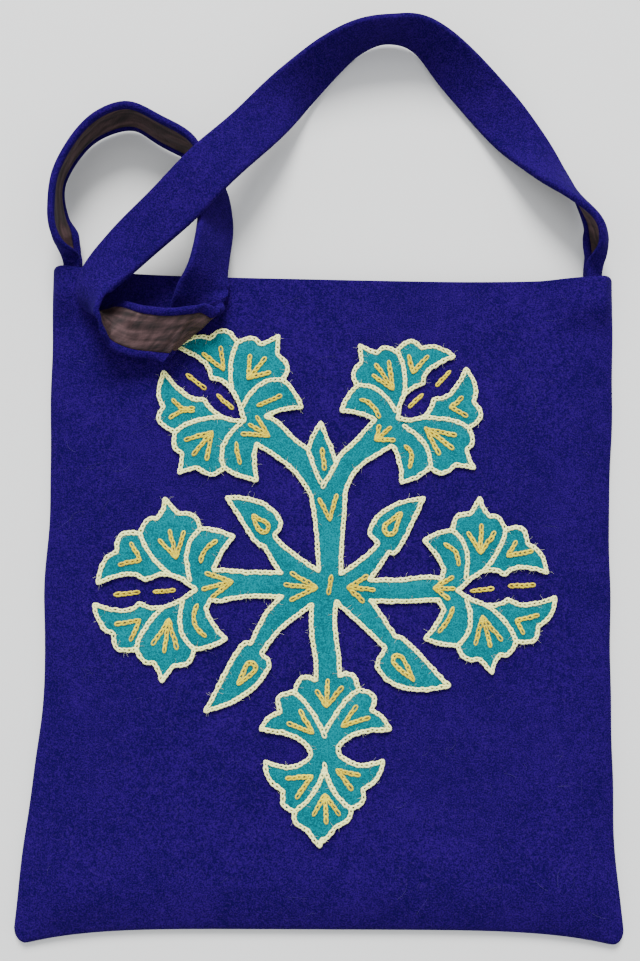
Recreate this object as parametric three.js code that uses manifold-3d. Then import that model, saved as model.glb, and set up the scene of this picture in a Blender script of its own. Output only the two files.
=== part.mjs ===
// A flat felt shoulder bag lying on its back, its strap laid in a loop over one corner.
// Millimetres. X runs across the bag, +Y towards its mouth, +Z up from the surface it lies on.
// The origin is the middle of the back panel's underside.
import * as THREE from 'three';
import { mergeVertices } from 'three/addons/utils/BufferGeometryUtils.js';
import Module from 'manifold-3d';

const wasm = await Module();
wasm.setup();

// Felt, the air left between pieces that are sewn together, and the easing of a cut edge
const FELT = 2;
const SEWN_GAP = 0.3;
const EDGE_EASE = 0.6;

// Bag outline: bottom edge and its slope, mouth, and how far the two dip or rise towards the corners
const BAG_BOTTOM = -184.5;
const BOTTOM_TILT = 0.014;
const BAG_TOP = 182;
const HALF_WIDTH = 162;
const EAR_DROP = 8;
const MOUTH_RISE = 5;
const EAR_RADIUS = 9;
const MOUTH_CORNER_RADIUS = 1.5;

// Side seams, from the bottom corners up to the mouth in equal steps
const SIDE_SEAMS = [
  { left: -168.5, right: 167 },
  { left: -165.5, right: 162.5 },
  { left: -161, right: 161.5 },
  { left: -158.5, right: 161.5 },
  { left: -161, right: 162 },
  { left: -160.5, right: 162 },
  { left: -162.5, right: 164.5 },
  { left: -164, right: 165.5 },
  { left: -166, right: 166.5 },
];

// Hollow of the bag: height inside, and the width of the curve that leads up to it from a seam
const HOLLOW = 6;
const HOLLOW_EDGE = 28;
// At the mouth's corners the folded strap ends lift the front panel
const CORNER_HOLLOW = 10;
const CORNER_EDGE = 9;
const CORNER_WIDE = { full: 22, gone: 46 };
const CORNER_DEEP = { full: 14, gone: 36 };

// Where the front panel's grid lines run, measured from a seam
const GRID_FROM_SIDE = [0, 2, 4, 6.5, 9.5, 13, 18, 23, 29, 46, 80, 120];
const GRID_FROM_BOTTOM = [0, 1.5, 4, 9, 14, 20, 28, 60, 100, 145, 190, 235, 275, 310];
const GRID_FROM_MOUTH = [0, 6, 14, 20, 26, 36];

// Strap section: half its width, its hems, and the cotton strip in the hollow between the hems
const STRAP_HALF = 15;
const HEM_WIDE = 4.4;
const HEM_DEEP = 4;
const HEM_STEP = 0.2;
const LINING_DEEP = 0.7;
const LINING_GAP = 0.95;
const LINING_SIDE_GAP = 1.2;
const STRAP_STEPS = 2;
// Share of the width left where the strap's ends are gathered, and the table rows over which they widen
const GATHERED = 0.8;
const GATHER_ROWS = 2.5;
// How far from the middle the strap and its lining have another line to fold at
const FOLD_LINE = 5;

// Strap route from the left corner to the right one. roll 0 stands on edge with the felt outwards, 90 lies
// with the felt up, and 270 with the lining up; cup is how far the section is folded lengthwise, in degrees,
// and fold is the half width of the part that bends. slant turns the lines across the strip, in degrees,
// to run along the crease where it doubles over.
const STRAP_ROUTE = [
  { x: -159, y: 176, z: 6.7, roll: 0, cup: 180, fold: 6.6, slant: 0 },
  { x: -159, y: 188, z: 6.7, roll: 0, cup: 180, fold: 6.6, slant: 0 },
  { x: -160.5, y: 194.5, z: 9, roll: -10, cup: 145, fold: 8, slant: 0 },
  { x: -162.5, y: 203, z: 13.5, roll: -22, cup: 85, fold: 11, slant: 0 },
  { x: -164, y: 217, z: 16.5, roll: -6, cup: 20, fold: 15, slant: 0 },
  { x: -164, y: 239, z: 16.5, roll: 7, cup: 5, fold: 15, slant: 0 },
  { x: -153.5, y: 261, z: 16.5, roll: 7, cup: 5, fold: 15, slant: 0 },
  { x: -139, y: 274.5, z: 16.5, roll: 2, cup: 5, fold: 15, slant: 0 },
  { x: -120.5, y: 279.5, z: 16.5, roll: -3, cup: 5, fold: 15, slant: 0 },
  { x: -101.5, y: 270, z: 16.5, roll: -8, cup: 5, fold: 15, slant: 0 },
  { x: -81.5, y: 258.5, z: 16.5, roll: -4, cup: 5, fold: 15, slant: 0 },
  { x: -69.5, y: 241, z: 16, roll: 16, cup: 5, fold: 15, slant: 0 },
  { x: -67, y: 219, z: 16.5, roll: 33, cup: 5, fold: 15, slant: 0 },
  { x: -67.4, y: 198, z: 22.5, roll: 34, cup: 5, fold: 15, slant: 0 },
  { x: -69.8, y: 180, z: 25, roll: 40, cup: 8, fold: 15, slant: -8 },
  { x: -74.2, y: 169.3, z: 22, roll: 55, cup: 8, fold: 15, slant: -23 },
  { x: -77.3, y: 161, z: 19, roll: 77, cup: 5, fold: 15, slant: -36 },
  { x: -78.8, y: 154.3, z: 17.6, roll: 90, cup: 5, fold: 15, slant: -44 },
  { x: -79.5, y: 150, z: 18.5, roll: 125, cup: 5, fold: 15, slant: -45 },
  { x: -81.3, y: 146.9, z: 20.9, roll: 180, cup: 5, fold: 15, slant: -44 },
  { x: -84.2, y: 145.5, z: 23.2, roll: 221, cup: 5, fold: 15, slant: -45 },
  { x: -87.9, y: 144.5, z: 24.2, roll: 236, cup: 5, fold: 15, slant: -41 },
  { x: -94.9, y: 143.9, z: 24.3, roll: 240, cup: 5, fold: 15, slant: -30 },
  { x: -103.5, y: 144.2, z: 23.7, roll: 246, cup: 5, fold: 15, slant: -15 },
  { x: -112.5, y: 145.2, z: 22.8, roll: 257, cup: 5, fold: 15, slant: -4 },
  { x: -123, y: 148, z: 22.5, roll: 282, cup: 5, fold: 15, slant: 0 },
  { x: -130.4, y: 150.2, z: 24.5, roll: 325, cup: 5, fold: 15, slant: 0 },
  { x: -136.5, y: 154.2, z: 27, roll: 370, cup: 5, fold: 15, slant: 0 },
  { x: -137, y: 170, z: 30, roll: 415, cup: 5, fold: 15, slant: 0 },
  { x: -117.3, y: 192.4, z: 32, roll: 440, cup: 5, fold: 15, slant: 0 },
  { x: -91.4, y: 216.4, z: 36, roll: 452, cup: 5, fold: 15, slant: 0 },
  { x: -69, y: 241, z: 36, roll: 457, cup: 5, fold: 15, slant: 0 },
  { x: -46, y: 269.2, z: 25, roll: 462, cup: 5, fold: 15, slant: 0 },
  { x: -22.5, y: 298, z: 15.5, roll: 494, cup: 5, fold: 15, slant: 0 },
  { x: -3.5, y: 316, z: 16, roll: 513, cup: 8, fold: 15, slant: 0 },
  { x: 14, y: 328, z: 16.5, roll: 532, cup: 8, fold: 15, slant: 0 },
  { x: 32, y: 333, z: 16.5, roll: 541, cup: 8, fold: 15, slant: 0 },
  { x: 51, y: 329.5, z: 16.5, roll: 525, cup: 8, fold: 15, slant: 0 },
  { x: 72.5, y: 311.5, z: 13.5, roll: 493, cup: 8, fold: 15, slant: 0 },
  { x: 94, y: 291, z: 10, roll: 470, cup: 9, fold: 15, slant: 0 },
  { x: 113.5, y: 270.5, z: 9.5, roll: 440, cup: 15, fold: 15, slant: 0 },
  { x: 128, y: 253, z: 13.5, roll: 415, cup: 25, fold: 15, slant: 0 },
  { x: 143, y: 237, z: 16, roll: 390, cup: 40, fold: 15, slant: 0 },
  { x: 155.5, y: 221, z: 16, roll: 364, cup: 60, fold: 13, slant: 0 },
  { x: 160, y: 209.5, z: 13.5, roll: 346, cup: 105, fold: 10, slant: 0 },
  { x: 161, y: 200, z: 9.5, roll: 346, cup: 150, fold: 7.8, slant: 0 },
  { x: 159.5, y: 190, z: 6.7, roll: 358, cup: 180, fold: 6.6, slant: 0 },
  { x: 159, y: 178, z: 6.7, roll: 360, cup: 180, fold: 6.6, slant: 0 },
];

// Ornament: thickness of the cut felt, and the steps that each curved edge is drawn with
const ORNAMENT_FELT = 1.2;
const EDGE_STEPS = 4;
const SHORTEST_EDGE = 0.8;

// One half of a side blossom, from the end of its slit round to the stalk. along runs out from the heart,
// across to the side, and each edge bows through the point given by bowAlong and bowAcross.
const BLOSSOM_HALF = [
  { corner: 'heart', along: 0, across: 0 },
  { corner: 'slit notch', along: 27.5, across: 6, bowAlong: 14.5, bowAcross: 8.5 },
  { corner: 'lip tip', along: 53.5, across: 6, bowAlong: 37, bowAcross: 10 },
  { corner: 'lip notch', along: 42.5, across: 22.5, bowAlong: 50, bowAcross: 17 },
  { corner: 'lip end', along: 29.5, across: 31, bowAlong: 40, bowAcross: 31 },
  { corner: 'first notch', along: 20, across: 38.5, bowAlong: 25.5, bowAcross: 38 },
  { corner: 'point', along: 15, across: 49, bowAlong: 17, bowAcross: 43 },
  { corner: 'second notch', along: 8.5, across: 40.5, bowAlong: 11.5, bowAcross: 44 },
  { corner: 'side end', along: -3, across: 31.5, bowAlong: 0, bowAcross: 39 },
  { corner: 'back tip', along: -21, across: 26.5, bowAlong: -11.5, bowAcross: 30.5 },
  { corner: 'axil', along: -9.5, across: 9.5, bowAlong: -14, bowAcross: 18.5 },
  { corner: 'stalk', along: -12, across: -3, bowAlong: -12, bowAcross: 4 },
];

// The four side blossoms: heart, and the direction they open in
const SIDE_BLOSSOMS = {
  topLeft: { x: -49, y: 96, facing: 144 },
  topRight: { x: 39, y: 99, facing: 42 },
  left: { x: -73.5, y: -1, facing: 183 },
  right: { x: 73.5, y: 1, facing: 2 },
};

// How each half was cut by hand: which side of the slit, its shift, turn, and stretch
const CUT_HALVES = [
  { blossom: 'topLeft', side: -1, slide: 2.7, spread: 0.5, turn: 4, reach: 1.05, width: 1.02 },
  { blossom: 'topLeft', side: 1, slide: -2.9, spread: -2.6, turn: 2, reach: 1.08, width: 0.99 },
  { blossom: 'topRight', side: 1, slide: -1.2, spread: -0.3, turn: 1, reach: 0.94, width: 0.96 },
  { blossom: 'topRight', side: -1, slide: -3.9, spread: 0.7, turn: -3.5, reach: 0.99, width: 1.02 },
  { blossom: 'left', side: -1, slide: -0.6, spread: 0.7, turn: -1.5, reach: 1.04, width: 1.06 },
  { blossom: 'left', side: 1, slide: 4.1, spread: 1.2, turn: -1, reach: 0.99, width: 1 },
  { blossom: 'right', side: 1, slide: 2.1, spread: 2.2, turn: 1.5, reach: 0.92, width: 1.02 },
  { blossom: 'right', side: -1, slide: 1.2, spread: 0.6, turn: -2, reach: 1, width: 0.93 },
];

// One half of the lowest blossom, from its stalk down to the tip
const LOW_BLOSSOM = { x: 0.5, y: -49, facing: -91 };
const LOW_HALF = [
  { corner: 'stalk', along: -4, across: -2 },
  { corner: 'axil', along: -0.5, across: 6.5 },
  { corner: 'calyx end', along: 6.5, across: 18, bowAlong: -2, bowAcross: 13.5 },
  { corner: 'upper notch', along: 17.5, across: 25, bowAlong: 9.5, bowAcross: 26.5 },
  { corner: 'upper tip', along: 27.5, across: 35.5, bowAlong: 21, bowAcross: 31.5 },
  { corner: 'upper bay', along: 35, across: 9.7, bowAlong: 29.3, bowAcross: 20 },
  { corner: 'lower bay', along: 43.3, across: 9.7, bowAlong: 39.3, bowAcross: 7.3 },
  { corner: 'lower tip', along: 44.5, across: 32.5, bowAlong: 47.3, bowAcross: 20 },
  { corner: 'lower notch', along: 60, across: 21.5, bowAlong: 54, bowAcross: 29.5 },
  { corner: 'side end', along: 70.5, across: 15.5, bowAlong: 67, bowAcross: 22 },
  { corner: 'tip notch', along: 79.5, across: 8.5, bowAlong: 76.5, bowAcross: 14.5 },
  { corner: 'tip', along: 88.5, across: 1 },
  { corner: 'middle', along: 80, across: -2 },
];
const LOW_CUTS = [
  { side: -1, slide: 1.3, spread: -0.5, turn: 0, reach: 1, width: 1 },
  { side: 1, slide: -1.3, spread: 0.5, turn: 0, reach: 1, width: 1 },
];

// Buds: outline from neck to tip as shares of the length and of the two half widths
const BUD_OUTLINE = [
  { at: 0, full: 0.62, lean: 0.6 },
  { at: 0.05, full: 0.86, lean: 1 },
  { at: 0.33, full: 1, lean: 0.85 },
  { at: 0.7, full: 0.66, lean: 0.35 },
  { at: 1, full: 0, lean: 0 },
];
const BUDS = [
  { x: -33, y: 28.5, facing: 137, length: 34, side: -1, full: 13, lean: 6.3 },
  { x: 31.5, y: 25, facing: 51, length: 36.5, side: 1, full: 13.5, lean: 7 },
  { x: -37.8, y: -34, facing: -130, length: 44, side: 1, full: 12, lean: 8.5 },
  { x: 36, y: -28.5, facing: -35, length: 40, side: -1, full: 17.5, lean: 6 },
  { x: -4, y: 66, facing: 92, length: 30, side: 1, full: 8, lean: 8.5 },
];

// Stems as tapering strips: middle line and half width
const STEMS = {
  trunk: [
    { x: 1, y: -2, half: 6.2 },
    { x: 1.3, y: 12, half: 6.3 },
    { x: 1, y: 32, half: 7.3 },
    { x: 0, y: 52, half: 9.5 },
    { x: -3, y: 68, half: 10.5 },
  ],
  foot: [
    { x: 1, y: 4, half: 6.2 },
    { x: -1.8, y: -10, half: 6.6 },
    { x: -1.3, y: -24, half: 6.6 },
    { x: 1, y: -38, half: 6.5 },
    { x: 1.5, y: -54, half: 6.4 },
  ],
  leftBranch: [
    { x: 2, y: 2.5, half: 6 },
    { x: -29, y: 2.8, half: 6.6 },
    { x: -47, y: 2.7, half: 6.9 },
    { x: -62, y: 1.5, half: 8.5 },
    { x: -71, y: -0.5, half: 4 },
  ],
  rightBranch: [
    { x: 0, y: 1.5, half: 5.6 },
    { x: 25, y: 0.8, half: 5.8 },
    { x: 42, y: 0.8, half: 6 },
    { x: 60, y: 2.5, half: 6.5 },
    { x: 71, y: 1, half: 4 },
  ],
  topLeftBranch: [
    { x: 0, y: 46, half: 7 },
    { x: -6, y: 60, half: 6.5 },
    { x: -15, y: 72.5, half: 7 },
    { x: -27, y: 82.5, half: 7.4 },
    { x: -38, y: 91, half: 8.5 },
    { x: -47, y: 95, half: 4 },
  ],
  topRightBranch: [
    { x: 1, y: 46, half: 7 },
    { x: 4, y: 60, half: 6.5 },
    { x: 10.5, y: 72.5, half: 6.2 },
    { x: 21, y: 82, half: 6.8 },
    { x: 30.5, y: 90.5, half: 8.5 },
    { x: 37.5, y: 97, half: 4 },
  ],
  upperLeftStalk: [
    { x: -34.5, y: 30, half: 4 },
    { x: -31, y: 24.5, half: 4.2 },
    { x: -23, y: 15.5, half: 6.2 },
    { x: -6, y: 2, half: 8 },
  ],
  upperRightStalk: [
    { x: 32.5, y: 26.5, half: 3.8 },
    { x: 28.5, y: 20.5, half: 4.2 },
    { x: 21, y: 12, half: 5.6 },
    { x: 6, y: 0, half: 7 },
  ],
  lowerLeftStalk: [
    { x: -39.5, y: -35, half: 3.8 },
    { x: -35, y: -26, half: 4.6 },
    { x: -26.5, y: -14, half: 6.4 },
    { x: -8, y: 1, half: 7 },
  ],
  lowerRightStalk: [
    { x: 37.5, y: -30, half: 4 },
    { x: 30, y: -21, half: 5.2 },
    { x: 20.5, y: -10.5, half: 6.6 },
    { x: 6, y: 3, half: 7 },
  ],
};

const FELT_VIOLET = new THREE.MeshStandardMaterial({ color: 0x1f1478, roughness: 0.95, metalness: 0 });
const FELT_TURQUOISE = new THREE.MeshStandardMaterial({ color: 0x0699a6, roughness: 0.95, metalness: 0 });
const COTTON_BROWN = new THREE.MeshStandardMaterial({ color: 0x6a5050, roughness: 0.85, metalness: 0 });

// Catmull-Rom through one named column of a table, at a place counted in rows
function readColumn(table, column, place) {
  const last = table.length - 1;
  const row = Math.min(Math.floor(place), last - 1);
  const t = place - row;
  const before = table[Math.max(row - 1, 0)][column];
  const start = table[row][column];
  const end = table[row + 1][column];
  const after = table[Math.min(row + 2, last)][column];
  const linear = (end - before) * t;
  const square = (2 * before - 5 * start + 4 * end - after) * t * t;
  const cubic = (3 * start - before - 3 * end + after) * t * t * t;
  return start + (linear + square + cubic) / 2;
}

// How far a rounded corner pulls the side in, at a distance from the end of the side
function cornerInset(distance, radius) {
  const inside = Math.max(radius - distance, 0);
  return radius - Math.sqrt(radius * radius - inside * inside);
}

// A side seam's x at a height given as a share of the bag's height
function seamAt(side, share) {
  const height = share * (BAG_TOP - BAG_BOTTOM);
  const inset = cornerInset(height, EAR_RADIUS)
    + cornerInset(BAG_TOP - BAG_BOTTOM - height, MOUTH_CORNER_RADIUS);
  const inwards = side === 'left' ? 1 : -1;
  return readColumn(SIDE_SEAMS, side, share * (SIDE_SEAMS.length - 1)) + inwards * inset;
}

function bottomEdge(x) {
  return BAG_BOTTOM + BOTTOM_TILT * x - EAR_DROP * Math.min(Math.abs(x) / HALF_WIDTH, 1) ** 5;
}

function mouthEdge(x) {
  return BAG_TOP + MOUTH_RISE * Math.min(Math.abs(x) / HALF_WIDTH, 1) ** 4;
}

// A point of the bag's plan, by its shares across the width and up the height
function planPoint(across, up) {
  const left = seamAt('left', up);
  const right = seamAt('right', up);
  const x = left + (right - left) * across;
  const y = bottomEdge(x) + (mouthEdge(x) - bottomEdge(x)) * up;
  return new THREE.Vector2(x, y);
}

// Grid lines of the front panel as shares of its width and height
function gridShares() {
  const width = 2 * HALF_WIDTH;
  const height = BAG_TOP - BAG_BOTTOM;
  const left = GRID_FROM_SIDE.map((step) => step / width);
  const right = left.map((share) => 1 - share).reverse();
  const low = GRID_FROM_BOTTOM.map((step) => step / height);
  const high = GRID_FROM_MOUTH.map((step) => 1 - step / height).reverse();
  return { across: [...left, 0.5, ...right], up: [...low, ...high] };
}

// The seam's rise towards the flat of a panel, 0 at the seam and 1 past the given edge
function swell(distance, edge) {
  const short = Math.max(1 - distance / edge, 0);
  return 1 - short * short;
}

// Height of the hollow under the front panel
function hollowAt(x, y, fromSide) {
  const fromMouth = mouthEdge(x) - y;
  const nearSide = 1 - THREE.MathUtils.smoothstep(fromSide, CORNER_WIDE.full, CORNER_WIDE.gone);
  const nearMouth = 1 - THREE.MathUtils.smoothstep(fromMouth, CORNER_DEEP.full, CORNER_DEEP.gone);
  const plain = HOLLOW * swell(fromSide, HOLLOW_EDGE);
  const corner = CORNER_HOLLOW * swell(fromSide, CORNER_EDGE);
  const height = THREE.MathUtils.lerp(plain, corner, nearSide * nearMouth);
  return height * swell(y - bottomEdge(x), HOLLOW_EDGE);
}

// Turns the diagonals on the underside of a gridded box, so that they lie under those of its top and a
// twisted sheet keeps an even wall
function crossUnderside(box) {
  const cornersPerCell = 6;
  const corners = box.getIndex();
  const underside = box.groups[box.groups.length - 1];
  for (let cell = 0; cell < underside.count / cornersPerCell; cell += 1) {
    const start = underside.start + cell * cornersPerCell;
    corners.setX(start + 2, corners.getX(start + 4));
    corners.setX(start + 3, corners.getX(start));
  }
}

// A closed sheet: a box with grid lines, each corner of the grid moved to its place. face is 0 on the side
// that was the bottom of the box and 1 on the side that was its top.
function sheetSolid(columns, rows, place) {
  const box = new THREE.BoxGeometry(1, 1, 1, columns, rows, 1);
  box.deleteAttribute('normal');
  box.deleteAttribute('uv');
  crossUnderside(box);
  const solid = mergeVertices(box);
  const corner = solid.getAttribute('position');
  for (let index = 0; index < corner.count; index += 1) {
    const column = Math.round((corner.getX(index) + 0.5) * columns);
    const row = Math.round((corner.getY(index) + 0.5) * rows);
    const face = Math.round(corner.getZ(index) + 0.5);
    const point = place(column, row, face);
    corner.setXYZ(index, point.x, point.y, point.z);
  }
  solid.computeVertexNormals();
  return solid;
}

// Back panel: the flat outline with its edges eased over
function backPanel() {
  const { across, up } = gridShares();
  const outline = [
    ...across.map((share) => planPoint(share, 0)),
    ...up.slice(1).map((share) => planPoint(1, share)),
    ...across.slice(0, -1).reverse().map((share) => planPoint(share, 1)),
    ...up.slice(1, -1).reverse().map((share) => planPoint(0, share)),
  ];
  const geometry = new THREE.ExtrudeGeometry(new THREE.Shape(outline), {
    depth: FELT - 2 * EDGE_EASE,
    bevelThickness: EDGE_EASE,
    bevelSize: EDGE_EASE,
    bevelOffset: -EDGE_EASE,
    bevelSegments: 1,
  });
  geometry.translate(0, 0, EDGE_EASE);
  return geometry;
}

// Front panel: a sheet that rises from the seams over the hollow
function frontPanel() {
  const { across, up } = gridShares();
  return sheetSolid(across.length - 1, up.length - 1, (column, row, face) => {
    const plan = planPoint(across[column], up[row]);
    const width = seamAt('right', up[row]) - seamAt('left', up[row]);
    const fromSide = width * Math.min(across[column], 1 - across[column]);
    const under = FELT + SEWN_GAP + hollowAt(plan.x, plan.y, fromSide);
    return new THREE.Vector3(plan.x, plan.y, under + FELT * face);
  });
}

// The strap's middle line, with the direction of its width and of its felt side, at each section
function strapSections() {
  const count = (STRAP_ROUTE.length - 1) * STRAP_STEPS;
  const sections = [];
  for (let index = 0; index <= count; index += 1) {
    const place = index / STRAP_STEPS;
    const read = (column) => readColumn(STRAP_ROUTE, column, place);
    const fromEnd = Math.min(place, STRAP_ROUTE.length - 1 - place);
    sections.push({
      middle: new THREE.Vector3(read('x'), read('y'), read('z')),
      roll: THREE.MathUtils.degToRad(read('roll')),
      bend: THREE.MathUtils.degToRad(read('cup')) / 2,
      slant: THREE.MathUtils.degToRad(read('slant')),
      fold: read('fold'),
      spread: THREE.MathUtils.lerp(GATHERED, 1, Math.min(fromEnd / GATHER_ROWS, 1)),
    });
  }
  const up = new THREE.Vector3(0, 0, 1);
  sections.forEach((section, index) => {
    const ahead = sections[Math.min(index + 1, count)].middle;
    const behind = sections[Math.max(index - 1, 0)].middle;
    const along = ahead.clone().sub(behind).normalize();
    const rise = up.clone().addScaledVector(along, -along.z).normalize();
    const side = along.clone().cross(rise);
    section.width = rise.clone().multiplyScalar(-Math.cos(section.roll))
      .addScaledVector(side, -Math.sin(section.roll));
    section.felt = along.clone().cross(section.width);
    section.width.addScaledVector(along, Math.tan(section.slant));
  });
  return sections;
}

// A point of a strap section: how far across from its middle, and how deep below the felt's face
function strapPoint(section, across, depth) {
  const reach = across * section.spread;
  const bent = THREE.MathUtils.clamp(reach, -section.fold, section.fold);
  const angle = (bent / section.fold) * section.bend;
  const radius = section.fold / section.bend;
  const straight = reach - bent;
  const wide = radius * Math.sin(angle) + straight * Math.cos(angle) - depth * Math.sin(angle);
  const deep = radius * (1 - Math.cos(angle)) + straight * Math.sin(angle) + depth * Math.cos(angle);
  return section.middle.clone()
    .addScaledVector(section.width, wide)
    .addScaledVector(section.felt, -deep);
}

// Lines across a strip, the same on both sides of its middle
function mirroredLines(lines) {
  return [...lines.map((line) => -line).reverse(), 0, ...lines];
}

// Felt strap: a wall with a deeper hem along both edges
function strap() {
  const hemStart = STRAP_HALF - HEM_WIDE;
  const lines = mirroredLines([FOLD_LINE, hemStart - HEM_STEP, hemStart, STRAP_HALF]);
  const sections = strapSections();
  return sheetSolid(lines.length - 1, sections.length - 1, (column, row, face) => {
    const across = lines[column];
    const wall = Math.abs(across) >= hemStart ? HEM_DEEP : FELT;
    return strapPoint(sections[row], across, wall * face);
  });
}

// Cotton strip in the hollow between the hems
function strapLining() {
  const edge = STRAP_HALF - HEM_WIDE - LINING_SIDE_GAP;
  const lines = mirroredLines([FOLD_LINE, edge]);
  const sections = strapSections();
  return sheetSolid(lines.length - 1, sections.length - 1, (column, row, face) => {
    const depth = FELT + LINING_GAP + LINING_DEEP * face;
    return strapPoint(sections[row], lines[column], depth);
  });
}

// A point of a blossom's chart, laid out on the bag
function chartPoint(home, cut, along, across) {
  const angle = THREE.MathUtils.degToRad(home.facing + cut.side * cut.turn);
  const out = cut.reach * along + cut.slide;
  const aside = cut.side * (cut.width * across + cut.spread);
  const x = home.x + out * Math.cos(angle) - aside * Math.sin(angle);
  const y = home.y + out * Math.sin(angle) + aside * Math.cos(angle);
  return new THREE.Vector2(x, y);
}

// The outline of a charted half blossom, its edges bowed through their middle points
function chartShape(chart, home, cut) {
  const shape = new THREE.Shape();
  let last = null;
  chart.forEach((row) => {
    const isHeart = row.corner === 'heart';
    const corner = isHeart
      ? new THREE.Vector2(home.x, home.y)
      : chartPoint(home, cut, row.along, row.across);
    if (last === null) {
      shape.moveTo(corner.x, corner.y);
    } else if (row.bowAlong === undefined) {
      shape.lineTo(corner.x, corner.y);
    } else {
      const bow = chartPoint(home, cut, row.bowAlong, row.bowAcross);
      const pull = bow.multiplyScalar(2).addScaledVector(last, -0.5).addScaledVector(corner, -0.5);
      shape.quadraticCurveTo(pull.x, pull.y, corner.x, corner.y);
    }
    last = corner;
  });
  return shape;
}

// A closed shape from its two edges, both drawn from the start to the end
function edgedShape(rightEdge, leftEdge) {
  const shape = new THREE.Shape();
  shape.moveTo(rightEdge[0].x, rightEdge[0].y);
  shape.splineThru(rightEdge.slice(1));
  const back = [...leftEdge].reverse();
  shape.lineTo(back[0].x, back[0].y);
  shape.splineThru(back.slice(1));
  return shape;
}

function budShape(bud) {
  const home = { x: bud.x, y: bud.y, facing: bud.facing };
  const plainCut = { turn: 0, reach: bud.length, slide: 0, spread: 0 };
  const tip = BUD_OUTLINE.length - 1;
  const edge = (side, column, width) => BUD_OUTLINE.slice(0, tip)
    .map((row) => chartPoint(home, { ...plainCut, side, width }, row.at, row[column]));
  const end = chartPoint(home, { ...plainCut, side: 1, width: 1 }, 1, 0);
  const fullEdge = [...edge(bud.side, 'full', bud.full), end];
  const leanEdge = edge(-bud.side, 'lean', bud.lean);
  return edgedShape(fullEdge, leanEdge);
}

function stemShape(rows) {
  const edge = (sign) => rows.map((row, index) => {
    const ahead = rows[Math.min(index + 1, rows.length - 1)];
    const behind = rows[Math.max(index - 1, 0)];
    const along = new THREE.Vector2(ahead.x - behind.x, ahead.y - behind.y).normalize();
    return new THREE.Vector2(row.x - sign * along.y * row.half, row.y + sign * along.x * row.half);
  });
  return edgedShape(edge(-1), edge(1));
}

// A flat cut of felt as a solid that can be joined to others
function cutSolid(shape) {
  const geometry = new THREE.ExtrudeGeometry(shape, {
    depth: ORNAMENT_FELT,
    bevelEnabled: false,
    curveSegments: EDGE_STEPS,
  });
  geometry.deleteAttribute('normal');
  geometry.deleteAttribute('uv');
  const merged = mergeVertices(geometry, 1e-4);
  return new wasm.Manifold(new wasm.Mesh({
    numProp: 3,
    vertProperties: new Float32Array(merged.getAttribute('position').array),
    triVerts: new Uint32Array(merged.getIndex().array),
  }));
}

// The outer edge of the joined felt, walked round its upper face, without steps too short to cut
function topOutline(mesh) {
  const places = mesh.vertProperties;
  const corner = (index) => new THREE.Vector2(places[3 * index], places[3 * index + 1]);
  const isTop = (index) => places[3 * index + 2] > ORNAMENT_FELT / 2;
  const edges = new Map();
  for (let start = 0; start < mesh.triVerts.length; start += 3) {
    const triangle = [...mesh.triVerts.slice(start, start + 3)];
    if (triangle.every(isTop)) {
      triangle.forEach((from, place) => {
        const to = triangle[(place + 1) % 3];
        const opposite = `${to},${from}`;
        if (edges.has(opposite)) {
          edges.delete(opposite);
        } else {
          edges.set(`${from},${to}`, [from, to]);
        }
      });
    }
  }
  const following = new Map(edges.values());
  const first = following.keys().next().value;
  const outline = [corner(first)];
  for (let index = following.get(first); index !== first; index = following.get(index)) {
    const point = corner(index);
    if (point.distanceTo(outline[outline.length - 1]) > SHORTEST_EDGE) {
      outline.push(point);
    }
  }
  return outline;
}

// Ornament: stems, buds and blossoms joined into one piece of felt on the flat of the front panel
function applique() {
  const shapes = [
    ...Object.values(STEMS).map(stemShape),
    ...BUDS.map(budShape),
    ...CUT_HALVES.map((cut) => chartShape(BLOSSOM_HALF, SIDE_BLOSSOMS[cut.blossom], cut)),
    ...LOW_CUTS.map((cut) => chartShape(LOW_HALF, LOW_BLOSSOM, cut)),
  ];
  const joined = shapes.map(cutSolid).reduce((whole, next) => whole.add(next));
  const outline = new THREE.Shape(topOutline(joined.getMesh()));
  const geometry = new THREE.ExtrudeGeometry(outline, { depth: ORNAMENT_FELT, bevelEnabled: false });
  geometry.translate(0, 0, FELT + SEWN_GAP + HOLLOW + FELT + SEWN_GAP);
  return geometry;
}

function piece(name, geometry, material) {
  const mesh = new THREE.Mesh(geometry, material);
  mesh.name = name;
  return mesh;
}

const bag = new THREE.Group();
bag.add(
  piece('back_panel', backPanel(), FELT_VIOLET),
  piece('front_panel', frontPanel(), FELT_VIOLET),
  piece('applique', applique(), FELT_TURQUOISE),
  piece('strap', strap(), FELT_VIOLET),
  piece('strap_lining', strapLining(), COTTON_BROWN),
);

export default bag;
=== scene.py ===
import math

import bpy
import numpy as np
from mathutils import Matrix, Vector, noise
from mathutils.kdtree import KDTree


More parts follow.
